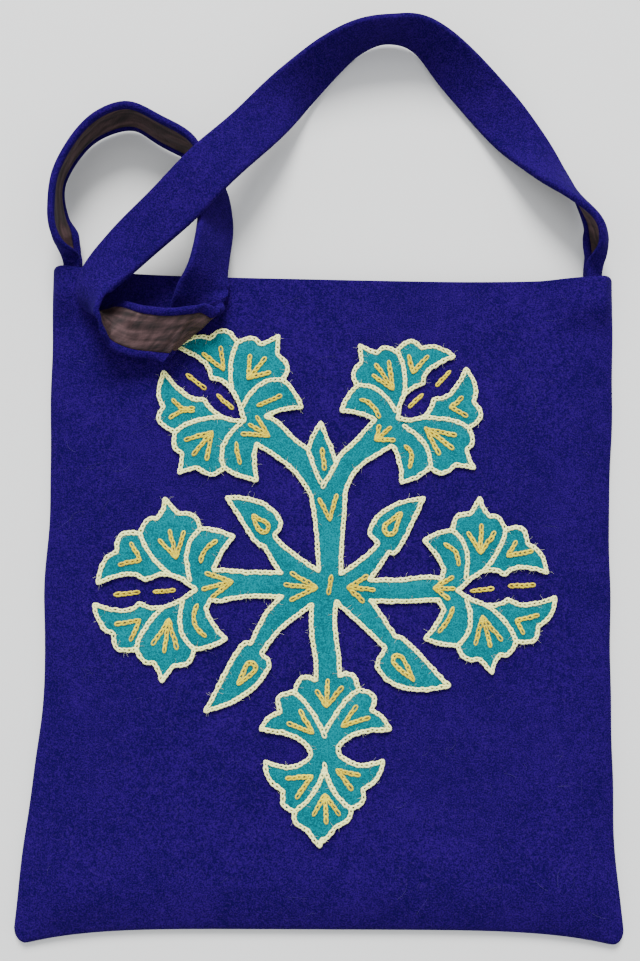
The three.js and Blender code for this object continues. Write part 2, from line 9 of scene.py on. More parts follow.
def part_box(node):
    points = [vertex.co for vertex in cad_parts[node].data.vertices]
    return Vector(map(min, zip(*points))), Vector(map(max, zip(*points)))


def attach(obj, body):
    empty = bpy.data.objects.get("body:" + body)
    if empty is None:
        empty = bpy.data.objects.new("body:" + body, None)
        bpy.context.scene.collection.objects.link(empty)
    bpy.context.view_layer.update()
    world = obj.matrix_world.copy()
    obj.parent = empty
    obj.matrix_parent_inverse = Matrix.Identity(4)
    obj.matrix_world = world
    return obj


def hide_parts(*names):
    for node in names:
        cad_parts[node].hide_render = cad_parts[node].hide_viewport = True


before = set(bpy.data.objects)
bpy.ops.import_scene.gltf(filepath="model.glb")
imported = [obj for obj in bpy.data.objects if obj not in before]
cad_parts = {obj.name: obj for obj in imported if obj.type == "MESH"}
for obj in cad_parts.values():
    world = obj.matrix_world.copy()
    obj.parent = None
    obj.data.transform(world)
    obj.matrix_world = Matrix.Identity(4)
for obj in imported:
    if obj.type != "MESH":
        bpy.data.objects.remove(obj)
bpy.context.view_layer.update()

# Camera: the bag lies on the ground and is seen from almost straight above, a little from its foot end,
# and the picture is turned by about a degree.
CAMERA_PLACE = (-0.005, -0.015, 0.5998)
FROM_FOOT_END = 7.5
PICTURE_TURN = 1.1
LENS = 58.5

bpy.ops.object.select_all(action="DESELECT")
bpy.ops.object.camera_add(location=CAMERA_PLACE)
camera = bpy.context.object
camera.name = "camera"
camera.rotation_mode = "ZYX"
camera.rotation_euler = (math.radians(FROM_FOOT_END), 0, math.radians(PICTURE_TURN))
camera.data.sensor_fit = "HORIZONTAL"
camera.data.sensor_width = 36
camera.data.lens = LENS
camera.data.dof.use_dof = False
bpy.context.scene.camera = camera

# Studio: a plain pale floor under an even bright sky, with one wide soft lamp that gives the felt
# a little modelling.
FLOOR_SIZE = 6
FLOOR_LEVEL = -0.0004
SKY_STRENGTH = 1.35
LAMP_PLACE = (-0.3, 3.9, 3.45)
LAMP_SIZE = 2.4
LAMP_POWER = 570

bpy.ops.mesh.primitive_plane_add(size=FLOOR_SIZE, location=(0, 0, FLOOR_LEVEL))
floor = bpy.context.object
floor.name = "floor"
floor_finish = bpy.data.materials.new("pale_floor")
floor_finish.use_nodes = True
floor_shader = floor_finish.node_tree.nodes["Principled BSDF"]
floor_shader.inputs["Base Color"].default_value = (0.63, 0.63, 0.622, 1)
floor_shader.inputs["Roughness"].default_value = 0.9
floor.data.materials.append(floor_finish)

sky = bpy.data.worlds.new("even_sky")
sky.use_nodes = True
sky_light = sky.node_tree.nodes["Background"]
sky_light.inputs["Color"].default_value = (0.95, 0.97, 1, 1)
sky_light.inputs["Strength"].default_value = SKY_STRENGTH
bpy.context.scene.world = sky

bpy.ops.object.light_add(type="AREA", location=LAMP_PLACE)
lamp = bpy.context.object
lamp.name = "soft_lamp"
lamp.data.shape = "DISK"
lamp.data.size = LAMP_SIZE
lamp.data.energy = LAMP_POWER
lamp.rotation_euler = lamp.location.to_track_quat("Z", "Y").to_euler()

# Back panel: one flat sheet of thick wool felt, cut to the bag's outline. It was sewn to the front panel
# along the sides and the bottom with the wrong side out, then turned, so its seam edges are rounded.
MM = 0.001
FELT = 2.0
SEAM_GAP = 0.3
BAG_BOTTOM = -184.5
BOTTOM_TILT = 0.014
BAG_TOP = 182.0
HALF_WIDTH = 162.0
# The bottom corners hang down as small ears, and the mouth rises a little to its corners
EAR_DROP = 8.0
EAR_RADIUS = 9.0
MOUTH_RISE = 5.0
MOUTH_CORNER_RADIUS = 1.5
# How far in from an edge the felt is rounded over, and the least share of its wall that is left there
SEAM_ROUND = 3.0
MOUTH_ROUND = 1.0
LEAST_WALL = 0.15
SEAM_WAVER = 0.35
EDGE_STEPS = (0, 0.3, 0.7, 1.2, 1.8, 2.5, 3.3, 4.5, 6, 8)
PANEL_STEP = 3.0
# x of the side seams, at even heights from the bottom to the mouth
LEFT_SEAM = (-168.5, -165.5, -161, -158.5, -161, -160.5, -162.5, -164, -166)
RIGHT_SEAM = (167, 162.5, 161.5, 161.5, 162, 162, 164.5, 165.5, 166.5)


def through_rows(values, place):
    """A smooth line through evenly spaced values, read at a place counted in rows."""
    values = np.asarray(values, float)
    last = len(values) - 1
    row = np.clip(np.floor(place).astype(int), 0, last - 1)
    t = place - row
    before = values[np.maximum(row - 1, 0)]
    start = values[row]
    end = values[row + 1]
    after = values[np.minimum(row + 2, last)]
    square = 2 * before - 5 * start + 4 * end - after
    cubic = 3 * start - before - 3 * end + after
    return start + t / 2 * (end - before + t * (square + t * cubic))


def corner_inset(distance, radius):
    """How far a rounded corner pulls a side in, at a distance from the side's end."""
    inside = np.maximum(radius - distance, 0)
    return radius - np.sqrt(radius**2 - inside**2)


def seam(values, up, inwards):
    """A side seam's x at a share of the bag's height, with the small waver of hand sewing."""
    height = up * (BAG_TOP - BAG_BOTTOM)
    inset = corner_inset(height, EAR_RADIUS)
    inset = inset + corner_inset(BAG_TOP - BAG_BOTTOM - height, MOUTH_CORNER_RADIUS)
    waver = SEAM_WAVER * np.sin(height / 11) * np.sin(height / 29 + inwards)
    return through_rows(values, up * (len(values) - 1)) + inwards * inset + waver


def bottom_edge(x):
    """The y of the bottom seam."""
    return BAG_BOTTOM + BOTTOM_TILT * x - EAR_DROP * np.minimum(np.abs(x) / HALF_WIDTH, 1) ** 5


def mouth_edge(x):
    """The y of the mouth's edge."""
    return BAG_TOP + MOUTH_RISE * np.minimum(np.abs(x) / HALF_WIDTH, 1) ** 4


def panel_plan(across, up):
    """Where a share across and a share up the panel lies, and how far it is from the side seam."""
    left = seam(LEFT_SEAM, up, 1)
    right = seam(RIGHT_SEAM, up, -1)
    x = left + (right - left) * across
    y = bottom_edge(x) + (mouth_edge(x) - bottom_edge(x)) * up
    return x, y, (right - left) * np.minimum(across, 1 - across)


def stepped(length):
    """Shares along a length, close together near both ends and evenly paced between."""
    *fine, inner = EDGE_STEPS
    middle = np.linspace(inner, length - inner, int((length - 2 * inner) / PANEL_STEP) + 1)
    return np.concatenate([fine, middle, length - np.array(fine)[::-1]]) / length


def felt_grid(name, columns, rows):
    """A flat grid to be shaped into a sheet, with the column and row of each corner."""
    bpy.ops.object.select_all(action="DESELECT")
    bpy.ops.mesh.primitive_grid_add(x_subdivisions=columns, y_subdivisions=rows, size=1)
    piece = bpy.context.object
    piece.name = name
    corners = np.empty(len(piece.data.vertices) * 3)
    piece.data.vertices.foreach_get("co", corners)
    corners = corners.reshape(-1, 3)
    column = np.rint((corners[:, 0] + 0.5) * columns).astype(int)
    row = np.rint((corners[:, 1] + 0.5) * rows).astype(int)
    return piece, column, row


def lay_out(piece, points):
    """Moves a mesh's corners to points given in millimetres."""
    piece.data.vertices.foreach_set("co", (np.asarray(points, float) * MM).ravel())
    piece.data.update()


def give_wall(piece, wall, offset, share=None):
    """Makes a sheet as thick as its cloth. share thins the wall corner by corner."""
    solid = piece.modifiers.new("wall", "SOLIDIFY")
    solid.thickness = wall * MM
    solid.offset = offset
    if share is not None:
        group = piece.vertex_groups.new(name="wall")
        for index, value in enumerate(share):
            group.add([index], float(value), "REPLACE")
        solid.vertex_group = "wall"
    bpy.context.view_layer.objects.active = piece
    bpy.ops.object.modifier_apply(modifier="wall")
    piece.vertex_groups.clear()
    piece.select_set(True)
    bpy.ops.object.shade_smooth()


def rounded_seam(*distances):
    """Share of the felt's wall left near an edge that is rounded over."""
    share = 1
    for distance, radius in distances:
        short = 1 - np.clip(distance / radius, 0, 1)
        share = share * np.sqrt(1 - short**2)
    return np.clip(share, LEAST_WALL, 1)


class Shade:
    """A value in a material's nodes. Sums written on it in Python add the Math nodes."""

    def __init__(self, tree, socket):
        self.tree = tree
        self.socket = socket

    def node(self, kind, settings, values, out=0):
        """Adds a node with its settings and the values or links of its sockets, and gives one output."""
        made = self.tree.nodes.new(kind)
        for name, value in settings.items():
            setattr(made, name, value)
        for name, value in values.items():
            if isinstance(value, Shade):
                self.tree.links.new(value.socket, made.inputs[name])
            else:
                made.inputs[name].default_value = value
        return Shade(self.tree, made.outputs[out])

    def clouds(self, scale, detail):
        """Smooth noise about zero, read at this place."""
        return self.node("ShaderNodeTexNoise", {}, {"Vector": self, "Scale": scale, "Detail": detail}) - 0.5

    def between(self, low, high):
        """This value as a share of the way from low to high."""
        return self.node("ShaderNodeMapRange", {}, {"Value": self, "From Min": low, "From Max": high})

    def tint(self, start, end):
        """The colour at this share of the way from one colour to another."""
        # a Mix node takes its colours at sockets 6 and 7 and gives them at 2
        return self.node("ShaderNodeMix", {"data_type": "RGBA"}, {0: self, 6: start, 7: end}, 2)

    def relief(self, strength, depth):
        """A surface raised by this value."""
        return self.node("ShaderNodeBump", {}, {"Strength": strength, "Distance": depth, "Height": self})

    def feed(self, shader, name):
        self.tree.links.new(self.socket, shader.inputs[name])

    def sum(self, operation, first, second):
        return self.node("ShaderNodeMath", {"operation": operation}, {0: first, 1: second})

    def __add__(self, other):
        return self.sum("ADD", self, other)

    def __radd__(self, other):
        return self.sum("ADD", other, self)

    def __sub__(self, other):
        return self.sum("SUBTRACT", self, other)

    def __rsub__(self, other):
        return self.sum("SUBTRACT", other, self)

    def __mul__(self, other):
        return self.sum("MULTIPLY", self, other)

    def __rmul__(self, other):
        return self.sum("MULTIPLY", other, self)


def blank_finish(name, place="Object"):
    """A new material, its shader, and the place on the piece that its pattern reads."""
    finish = bpy.data.materials.new(name)
    finish.use_nodes = True
    tree = finish.node_tree
    shader = tree.nodes["Principled BSDF"]
    return finish, shader, Shade(tree, tree.nodes.new("ShaderNodeTexCoord").outputs[place])


def wool_felt(name, deep, middle, pale, fleck, sheen):
    """Fulled wool: cloudy dye, a fine nap, a trace of the cloth under it, and fibre ends that show as
    flecks."""
    finish, shader, place = blank_finish(name)

    def threads(size):
        return place.node("ShaderNodeMapping", {}, {"Vector": place, "Scale": size}).clouds(1, 1)

    dye = place.clouds(45, 2)
    blotch = place.clouds(210, 2)
    nap = place.clouds(1300, 3)
    tuft = place.clouds(820, 1)
    warp = threads((900, 60, 300))
    weft = threads((60, 900, 300))
    depth = 0.5 + 0.5 * dye + 0.5 * blotch + 2.6 * nap + 0.12 * warp + 0.12 * weft
    shadow = depth.between(0.2, 0.5).tint(deep, middle)
    ground = depth.between(0.5, 0.85).tint(shadow, pale)
    flecks = tuft.between(0.08, 0.26) * 0.4
    fuzz = nap + 0.5 * tuft + 0.1 * warp + 0.1 * weft + 0.4 * blotch
    flecks.tint(ground, fleck).feed(shader, "Base Color")
    (0.92 - 0.1 * nap).feed(shader, "Roughness")
    fuzz.relief(0.5, 0.0007).feed(shader, "Normal")
    shader.inputs["Specular IOR Level"].default_value = 0.02
    shader.inputs["Sheen Weight"].default_value = 0.05
    shader.inputs["Sheen Roughness"].default_value = 0.45
    shader.inputs["Sheen Tint"].default_value = sheen
    return finish


violet_felt = wool_felt(
    "violet_felt",
    deep=(0.0036, 0, 0.036, 1),
    middle=(0.0068, 0, 0.055, 1),
    pale=(0.014, 0.0002, 0.088, 1),
    fleck=(0.03, 0.008, 0.115, 1),
    sheen=(0.1, 0.06, 0.45, 1),
)

panel_across = stepped(2 * HALF_WIDTH)
panel_up = stepped(BAG_TOP - BAG_BOTTOM)
back, column, row = felt_grid("back_felt", len(panel_across) - 1, len(panel_up) - 1)
plan_x, plan_y, from_side = panel_plan(panel_across[column], panel_up[row])
from_bottom = plan_y - bottom_edge(plan_x)
from_mouth = mouth_edge(plan_x) - plan_y
wall_share = rounded_seam((from_side, SEAM_ROUND), (from_bottom, SEAM_ROUND), (from_mouth, MOUTH_ROUND))
lay_out(back, np.column_stack([plan_x, plan_y, FELT * (1 - wall_share)]))
give_wall(back, FELT, 1, wall_share)
back.data.materials.append(violet_felt)
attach(back, "root")
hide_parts("back_panel")

# Front panel: a second sheet of the same felt. It swells gently over the empty bag from the seams, stands
# up at the mouth's corners over the strap's folded ends, and is open along the mouth.
HOLLOW = 6.0
HOLLOW_EDGE = 28.0
CORNER_HOLLOW = 10.0
CORNER_EDGE = 9.0
# The hump at the mouth's corners: where it is full and where it is gone, from the side and from the mouth
HUMP_ACROSS = (22, 46)
HUMP_DOWN = (14, 36)
BROAD_WAVE = 0.3
SMALL_WAVE = 0.14
FLAT_TOP = FELT + SEAM_GAP + HOLLOW + FELT


def swell(distance, edge):
    """How far the felt has risen, from 0 on a seam to 1 past the edge's width."""
    return 1 - np.maximum(1 - distance / edge, 0) ** 2


def fade(value, full, gone):
    """Falls smoothly from 1 where it is full to 0 where it is gone."""
    t = np.clip((value - full) / (gone - full), 0, 1)
    return 1 - t * t * (3 - 2 * t)


def felt_wave(x, y):
    """The slow waves of felt that lies loose, in millimetres."""
    broad = np.sin(x / 37 + 0.8 * np.sin(y / 53)) * np.sin(y / 41 + 0.4)
    small = np.sin(x / 15 + 1.9) * np.sin(y / 19 + 0.6 * np.sin(x / 23))
    return BROAD_WAVE * broad + SMALL_WAVE * small


def front_under(x, y, from_side):
    """Height of the front panel's underside."""
    corner = fade(from_side, *HUMP_ACROSS) * fade(mouth_edge(x) - y, *HUMP_DOWN)
    plain = HOLLOW * swell(from_side, HOLLOW_EDGE)
    humped = CORNER_HOLLOW * swell(from_side, CORNER_EDGE)
    above_seam = swell(y - bottom_edge(x), HOLLOW_EDGE)
    height = (plain + (humped - plain) * corner) * above_seam
    loose = swell(from_side, HOLLOW_EDGE) * above_seam * (1 - corner)
    return FELT + SEAM_GAP + height + felt_wave(x, y) * loose


front = felt_grid("front_felt", len(panel_across) - 1, len(panel_up) - 1)[0]
front_z = front_under(plan_x, plan_y, from_side) + FELT * wall_share
lay_out(front, np.column_stack([plan_x, plan_y, front_z]))
give_wall(front, FELT, -1, wall_share)
front.data.materials.append(violet_felt)
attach(front, "root")
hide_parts("front_panel")

# Ornament: a stem with buds and five blossoms, cut from one piece of thin turquoise felt and laid on the
# front panel. The chain stitches that hold it pull it down, and it puffs up a little between them.
ORNAMENT_FELT = 1.2
ORNAMENT_BASE = FLAT_TOP + SEAM_GAP
PUFF = 0.7
PUFF_REACH = 3.5
SEWN_DEPTH = 0.4
GRID_STEP = 2.5

ornament = bpy.data.objects.new("flower_felt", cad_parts["applique"].data.copy())
bpy.context.collection.objects.link(ornament)
bpy.ops.object.select_all(action="DESELECT")
ornament.select_set(True)
bpy.context.view_layer.objects.active = ornament
ornament.data.materials.clear()
bpy.ops.object.mode_set(mode="EDIT")
bpy.ops.mesh.select_all(action="SELECT")
bpy.ops.mesh.remove_doubles(threshold=0.00001)
bpy.ops.object.mode_set(mode="OBJECT")


def upper_rim(mesh):
    """The corners of a cut sheet's upper edge, in order, in millimetres."""
    faces_at = {}
    for face in mesh.polygons:
        for edge in face.edge_keys:
            faces_at.setdefault(edge, []).append(face.normal.z)
    rim = {}
    for (start, end), tilts in faces_at.items():
        if max(tilts) > 0.9 and abs(min(tilts)) < 0.1:
            rim.setdefault(start, []).append(end)
            rim.setdefault(end, []).append(start)
    first = min(rim)
    walk = [first, rim[first][0]]
    while walk[-1] != first:
        ahead = [corner for corner in rim[walk[-1]] if corner != walk[-2]]
        walk.append(ahead[0])
    return np.array([mesh.vertices[corner].co[:2] for corner in walk[:-1]]) / MM


ornament_edge = upper_rim(ornament.data)

# Lines sewn in cream over the ornament: the edges between petals, each a line of three points charted along
# a blossom's axis and across it. A blossom's home is x, y and the way it faces.
SIDE_BLOSSOMS = {
    "top_left": (-49, 96, 144),
    "top_right": (39, 99, 42),
    "left": (-73.5, -1, 183),
    "right": (73.5, 1, 2),
}
# blossom, side of the slit, slide, spread, turn, reach, width
CUT_HALVES = (
    ("top_left", -1, 2.7, 0.5, 4, 1.05, 1.02),
    ("top_left", 1, -2.9, -2.6, 2, 1.08, 0.99),
    ("top_right", 1, -1.2, -0.3, 1, 0.94, 0.96),
    ("top_right", -1, -3.9, 0.7, -3.5, 0.99, 1.02),
    ("left", -1, -0.6, 0.7, -1.5, 1.04, 1.06),
    ("left", 1, 4.1, 1.2, -1, 0.99, 1),
    ("right", 1, 2.1, 2.2, 1.5, 0.92, 1.02),
    ("right", -1, 1.2, 0.6, -2, 1, 0.93),
)
PETAL_EDGES = (
    ((29.5, 31), (25, 20), (14.5, 8.5)),
    ((-3, 31.5), (4.5, 21), (3.5, 4.5)),
)
LOW_BLOSSOM = (0.5, -49, -91)
LOW_HALVES = ((-1, 1.3, -0.5, 0, 1, 1), (1, -1.3, 0.5, 0, 1, 1))
LOW_PETAL_EDGES = (
    ((6.5, 18), (15, 9), (30, 0)),
    ((47, 0), (61, 5.5), (70.5, 15.5)),
)
TOP_BUD_EDGES = (
    ((-12, 79), (-8.5, 70), (-4.5, 61)),
    ((5.5, 76), (1.5, 67.5), (-3.5, 58.5)),
)


def chart_point(home, cut, point):
    """A point of a blossom's chart, laid out on the bag."""
    home_x, home_y, facing = home
    side, slide, spread, turn, reach, width = cut
    angle = math.radians(facing + side * turn)
    out = reach * point[0] + slide
    aside = side * (width * point[1] + spread)
    x = home_x + out * math.cos(angle) - aside * math.sin(angle)
    y = home_y + out * math.sin(angle) + aside * math.cos(angle)
    return x, y


def bowed(first, middle, last, steps=8):
    """A bowed line through three points."""
    t = np.linspace(0, 1, steps + 1)[:, None]
    first, middle, last = (np.asarray(point, float) for point in (first, middle, last))
    pull = 2 * middle - (first + last) / 2
    return (1 - t) ** 2 * first + 2 * t * (1 - t) * pull + t**2 * last


def charted(home, cut, lines):
    """Lines of a blossom's chart, bowed and laid out on the bag."""
    return [bowed(*(chart_point(home, cut, point) for point in line)) for line in lines]


cream_lines = [bowed(*line) for line in TOP_BUD_EDGES]
for blossom, *cut in CUT_HALVES:
    cream_lines += charted(SIDE_BLOSSOMS[blossom], cut, PETAL_EDGES)
for cut in LOW_HALVES:
    cream_lines += charted(LOW_BLOSSOM, cut, LOW_PETAL_EDGES)

bpy.ops.object.mode_set(mode="EDIT")
low_corner, high_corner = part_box("applique")
for axis, normal in enumerate(((1, 0, 0), (0, 1, 0))):
    cut_at = low_corner[axis] + GRID_STEP * MM
    while cut_at < high_corner[axis]:
        bpy.ops.mesh.select_all(action="SELECT")
        bpy.ops.mesh.bisect(plane_co=(cut_at * normal[0], cut_at * normal[1], 0), plane_no=normal)
        cut_at += GRID_STEP * MM
bpy.ops.object.mode_set(mode="OBJECT")

sewn_points = np.concatenate([ornament_edge, *cream_lines])
sewn = KDTree(len(sewn_points))
for index, point in enumerate(sewn_points):
    sewn.insert((point[0], point[1], 0), index)
sewn.balance()


def ornament_top(x, y):
    """Height of the ornament's upper face: low on the sewn lines and puffed between them."""
    away = sewn.find((x, y, 0))[2]
    puffed = PUFF * (1 - math.exp(-((away / PUFF_REACH) ** 2)))
    return ORNAMENT_BASE + ORNAMENT_FELT - SEWN_DEPTH + puffed + felt_wave(x, y)


points = np.array([corner.co for corner in ornament.data.vertices]) / MM
is_top = points[:, 2] > ORNAMENT_BASE + ORNAMENT_FELT / 2
points[~is_top, 2] += felt_wave(points[~is_top, 0], points[~is_top, 1])
points[is_top, 2] = [ornament_top(x, y) for x, y in points[is_top, :2]]
lay_out(ornament, points)
bpy.ops.object.shade_smooth_by_angle(angle=math.radians(50))
turquoise_felt = wool_felt(
    "turquoise_felt",
    deep=(0, 0.07, 0.088, 1),
    middle=(0, 0.112, 0.135, 1),
    pale=(0, 0.155, 0.182, 1),
    fleck=(0.004, 0.18, 0.21, 1),
    sheen=(0, 0.5, 0.55, 1),
)
ornament.data.materials.append(turquoise_felt)
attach(ornament, "root")
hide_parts("applique")

# Cream chain stitch: thick wool yarn worked by hand along every edge of the ornament and between its petals.
# Each stitch is a small loop that comes up inside the one before it.
CREAM_PITCH = 2.7
YARN = 1.15
LOOP_WIDTH = 2.05
LOOP_DIP = 0.18
# A loop's length, its narrowing and the yarn's seat on the felt, as shares of the pitch, width and yarn
LOOP_LENGTH = 1.35
LOOP_TAPER = 0.22
YARN_SEAT = 0.3
# How much the hand varies the stitches
WIDTH_VARIES = (0.82, 1.18)
YARN_VARIES = (0.86, 1.14)
HAND_WAVER = 0.14
# Degrees of turn at which a stitch ends
SHARP_CORNER = 38

bpy.ops.object.select_all(action="DESELECT")
bpy.ops.mesh.primitive_torus_add(
    major_segments=10, minor_segments=4, major_radius=1, minor_radius=0.5, location=(0, 0, 0)
)
loop = bpy.context.object
loop_points = np.array([corner.co for corner in loop.data.vertices])
loop_faces = np.array([face.vertices[:] for face in loop.data.polygons])
bpy.data.objects.remove(loop)
ring_angle = np.arctan2(loop_points[:, 1], loop_points[:, 0])
ring_out = np.hypot(loop_points[:, 0], loop_points[:, 1]) - 1


def chain_line(points, pitch, closed=False):
    """Middles and directions of the stitches along a line, with a stitch ending at every sharp corner."""
    points = np.asarray(points, float)
    if closed:
        before = points - np.roll(points, 1, axis=0)
        after = np.roll(points, -1, axis=0) - points
        turn = np.arctan2(
            before[:, 0] * after[:, 1] - before[:, 1] * after[:, 0], (before * after).sum(axis=1)
        )
        corners = np.flatnonzero(np.abs(turn) > math.radians(SHARP_CORNER))
        ring = np.concatenate([points, points[: corners[0] + 1]])
        stops = [*corners, len(points) + corners[0]]
        stretches = [ring[start : stop + 1] for start, stop in zip(stops, stops[1:])]
    else:
        stretches = [points]
    stitches = []
    for stretch in stretches:
        lengths = np.hypot(*np.diff(stretch, axis=0).T)
        run = np.concatenate([[0], np.cumsum(lengths)])
        count = max(round(run[-1] / pitch), 1)
        ends = np.linspace(0, run[-1], count + 1)
        knots = np.column_stack([np.interp(ends, run, stretch[:, axis]) for axis in range(2)])
        for start, end in zip(knots, knots[1:]):
            stitches.append(((start + end) / 2, end - start))
    return stitches


def joined(name, corners, faces):
    """One piece from many copies of a small shape."""
    mesh = bpy.data.meshes.new(name)
    mesh.from_pydata((corners * MM).tolist(), [], faces)
    piece = bpy.data.objects.new(name, mesh)
    bpy.context.collection.objects.link(piece)
    return piece


def chain_stitches(name, stitches, height_at, rng):
    """All the loops of some stitches, joined into one piece. The inner side of each loop is marked for a
    painted shade in its hollow."""
    corners = []
    for middle, step in stitches:
        long = np.hypot(*step)
        along = np.array([*step, 0]) / max(long, 1e-6)
        aside = np.array([-along[1], along[0], 0])
        wide = LOOP_WIDTH / 2 * rng.uniform(*WIDTH_VARIES)
        reach = long / 2 * LOOP_LENGTH
        taper = 1 - LOOP_TAPER + LOOP_TAPER * np.cos(ring_angle)
        thick = YARN * rng.uniform(*YARN_VARIES)
        x = reach * np.cos(ring_angle) + thick * ring_out * np.cos(ring_angle)
        y = (wide * taper + thick * ring_out) * np.sin(ring_angle) + rng.normal(0, HAND_WAVER)
        z = thick * loop_points[:, 2] - LOOP_DIP * np.cos(ring_angle)
        base = np.array([*middle, height_at(*middle) + YARN_SEAT * YARN])
        corners.append(base + np.outer(x, along) + np.outer(y, aside) + np.outer(z, [0, 0, 1]))
    faces = [loop_faces + index * len(loop_points) for index in range(len(stitches))]
    piece = joined(name, np.concatenate(corners), np.concatenate(faces).tolist())
    # painted shade: the inner half of each loop is marked so that its colour turns darker there
    shade_mark = piece.data.attributes.new("hollow_shade", "FLOAT", "POINT")
    shade_mark.data.foreach_set("value", np.tile(np.clip(-2 * ring_out, 0, 1), len(stitches)))
    bpy.ops.object.select_all(action="DESELECT")
    piece.select_set(True)
    bpy.context.view_layer.objects.active = piece
    bpy.ops.object.shade_smooth()
    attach(piece, "root")
    return piece


def wool_yarn(name, shaded, plain, bright, inside):
    """Soft twisted yarn: streaks of ply along the thread, and a painted shade in the inside colour in each
    loop's hollow.
    """
    finish, shader, place = blank_finish(name)
    ply = place.clouds(1500, 2)
    batch = place.clouds(120, 1)
    depth = 0.5 + 1.6 * ply + 0.8 * batch
    shadow = depth.between(0, 0.5).tint(shaded, plain)
    thread = depth.between(0.5, 1).tint(shadow, bright)
    # painted shade: the marked inner side of each loop is tinted towards the inside colour
    hollow_shade = place.node("ShaderNodeAttribute", {"attribute_name": "hollow_shade"}, {}, 2)
    (hollow_shade * 0.8).tint(thread, inside).feed(shader, "Base Color")
    (0.8 - 0.2 * ply).feed(shader, "Roughness")
    ply.relief(0.35, 0.0004).feed(shader, "Normal")
    shader.inputs["Specular IOR Level"].default_value = 0.2
    shader.inputs["Sheen Weight"].default_value = 0.15
    return finish


cream_stitches = chain_line(ornament_edge, CREAM_PITCH, closed=True)
for line in cream_lines:
    cream_stitches += chain_line(line, CREAM_PITCH)
cream_chain = chain_stitches("cream_chain", cream_stitches, ornament_top, np.random.default_rng(11))
cream_yarn = wool_yarn(
    "cream_yarn",
    shaded=(0.72, 0.72, 0.2, 1),
    plain=(0.93, 0.98, 0.38, 1),
    bright=(0.98, 1, 0.55, 1),
    # inside is the painted shade in each loop's hollow
    inside=(0.42, 0.31, 0.08, 1),
)
cream_chain.data.materials.append(cream_yarn)

# Yellow chain stitch: the same hand stitch in golden yarn, worked as short veins, forks and rings inside the
# petals, and as dashes on the violet felt inside each slit.
YELLOW_PITCH = 3.0
# Forked veins, charted on the bag: the foot, then the end of each prong
FORKS = (
    ((-62, 126), (-64, 139), (-74, 135)),
    ((-47.5, 121), (-47, 134.5), (-38, 133), (-35.5, 125)),
    ((-67.5, 89), (-82.5, 84.5), (-77.5, 76), (-70, 73.5)),
    ((-35, 87.5), (-42, 98.5), (-46, 94), (-50, 88.5)),
    ((36, 116.5), (24.5, 124), (26, 130.5), (33.5, 132.5)),
    ((47.5, 126.5), (45, 136), (56, 136)),
    ((69.5, 106), (76, 112), (78.5, 101.5)),
    ((55, 93.5), (72, 90), (70.5, 82.5), (62.5, 79)),
    ((26.5, 86.5), (28.5, 94.5), (35, 93.5), (37, 86.5)),
    ((-105.5, 15), (-111, 24.5), (-117, 12.5)),
    ((-85.5, 17), (-95, 26.5), (-89.5, 32), (-81.5, 31.5)),
    ((-104.5, -18.5), (-117.5, -21), (-109, -29.5)),
    ((-88, -18), (-96.5, -31.5), (-90, -35.5), (-83, -33.5)),
    ((-53.5, 4), (-68, 8.5), (-69.5, -0.5), (-64.5, -5)),
    ((86.5, 23), (79.5, 34), (87, 38.5), (94.5, 34.5)),
    ((102, 21.5), (106.5, 29.5), (115.5, 24.5)),
    ((106.5, -14.5), (118.5, -11.5), (110.5, -21.5)),
    ((87.5, -13), (83.5, -28), (92, -29), (98, -25.5)),
    ((60.5, 2.5), (70.5, 9), (71.5, 2.5), (68.5, -3)),
    ((1, -63.5), (-4.5, -55.5), (1.5, -49.5), (9.5, -53.5)),
    ((-6.5, -78), (-13.5, -66.5), (-20, -73.5)),
    ((10, -74), (17.5, -63.5), (24.5, -69.5)),
    ((-6.5, -101.5), (-20, -103), (-14.5, -113)),
    ((7.5, -98), (19.5, -100.5), (15.5, -108)),
    ((1, -111.5), (-5, -122), (2, -126), (9, -121.5)),
    ((-6, 1.5), (-20, 9.5), (-23.5, 3), (-20, -5.5)),
    ((12, 2), (22.5, 8.5), (26.5, 1), (20.5, -5.5)),
    ((1, 40), (-5, 51.5), (4.5, 54)),
    ((-4, 80.5), (-2.5, 69)),
    ((2.5, 8), (1, -1.5)),
)
# Bowed veins: three points along each
BOWED_VEINS = (
    ((-41.5, 105.5), (-35, 108), (-28.5, 111)),
    ((-53.5, 83), (-52.5, 77), (-51, 71.5)),
    ((-78.5, 103), (-85, 103), (-90.5, 107.5)),
    ((-78.5, 101.5), (-85, 101), (-91.5, 97)),
    ((17.5, 109.5), (23, 107.5), (28.5, 100)),
    ((43.5, 83), (47, 78.5), (46, 71)),
    ((-71.5, 15), (-69.5, 21), (-63, 26.5)),
    ((-72.5, -9.5), (-74, -19), (-67.5, -26.5)),
    ((66.5, 27.5), (72.5, 22.5), (74, 16)),
    ((71, -8.5), (68.5, -14.5), (63.5, -21.5)),
)
# Dashes on the violet felt in the slits: both ends of each
SLIT_DASHES = (
    ((-83, 122.5), (-72.5, 115)),
    ((-65, 111), (-56.5, 103.5)),
    ((69, 127.5), (61.5, 119.5)),
    ((53, 113.5), (46, 106.5)),
    ((-119, -4.5), (-106, -3)),
    ((-97, -2.5), (-86, -1.5)),
    ((81.5, 1.5), (93.5, 3)),
    ((103, 4.5), (117, 5.5)),
)
# Rings in the buds: the pointed end, the middle of the round end, and half the ring's width
BUD_RINGS = (
    ((-42.5, 41.5), (-36.5, 35), 3.2),
    ((41, 44.5), (35, 35.5), 3.4),
    ((-48, -52.5), (-41.5, -43.5), 3),
    ((49, -48.5), (40.5, -38), 3.2),
)


def bud_ring(tip, heart, half):
    """A teardrop ring: round at the heart and drawn out to the tip."""
    tip, heart = np.array(tip, float), np.array(heart, float)
    reach = np.hypot(*(tip - heart))
    along = (tip - heart) / reach
    aside = np.array([-along[1], along[0]])
    turns = np.radians(np.linspace(70, 290, 12))
    bulb = [heart + half * (math.cos(turn) * along + math.sin(turn) * aside) for turn in turns]
    return np.array([tip, *bulb, tip])


